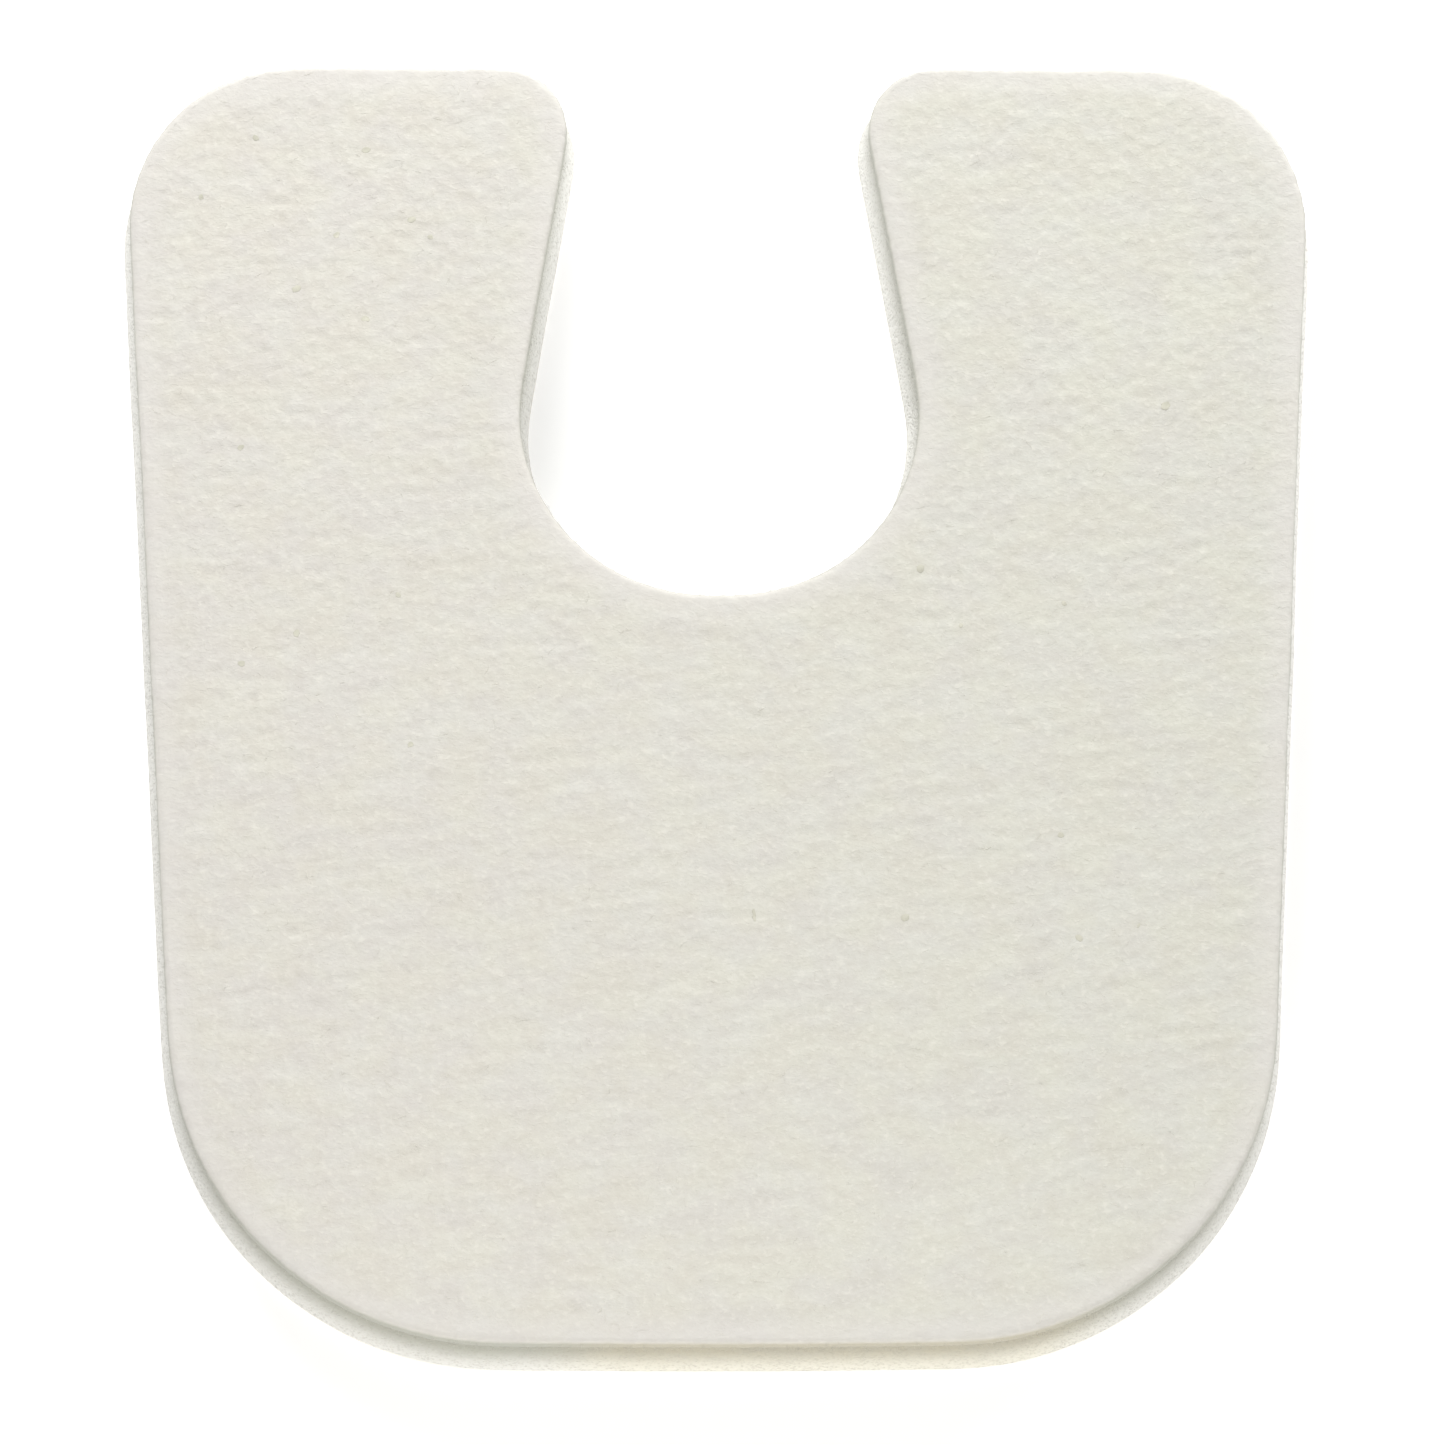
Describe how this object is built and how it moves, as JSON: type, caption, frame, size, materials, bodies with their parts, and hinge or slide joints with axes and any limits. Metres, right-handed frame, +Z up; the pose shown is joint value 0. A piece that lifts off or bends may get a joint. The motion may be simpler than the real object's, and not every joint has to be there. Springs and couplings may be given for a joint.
{
  "type": "adhesive foam foot pad",
  "caption": "U-shaped self-adhesive cushion pad for the ball of the foot, with a fleecy cover over foam and a slot that frees a sore spot.",
  "frame": {"origin": "on the surface that the pad lies on, under the middle of the outline's box", "axes": "+X across the pad, to the right in the picture; +Y along the pad, towards the slot's open end; +Z up, out of the fleecy face"},
  "size_m": [0.0572, 0.0636, 0.0048],
  "materials": {
    "fleece": "off-white brushed fleece, matte, with a fine crepe grain",
    "foam": "cream latex foam with a fine open-cell cut wall, matte",
    "adhesive": "satin adhesive film, slightly yellow"
  },
  "bodies": {
    "root": {"adhesive_backing": "adhesive", "foam_core": "foam", "fleece_cover": "fleece"}
  },
  "joints": []
}
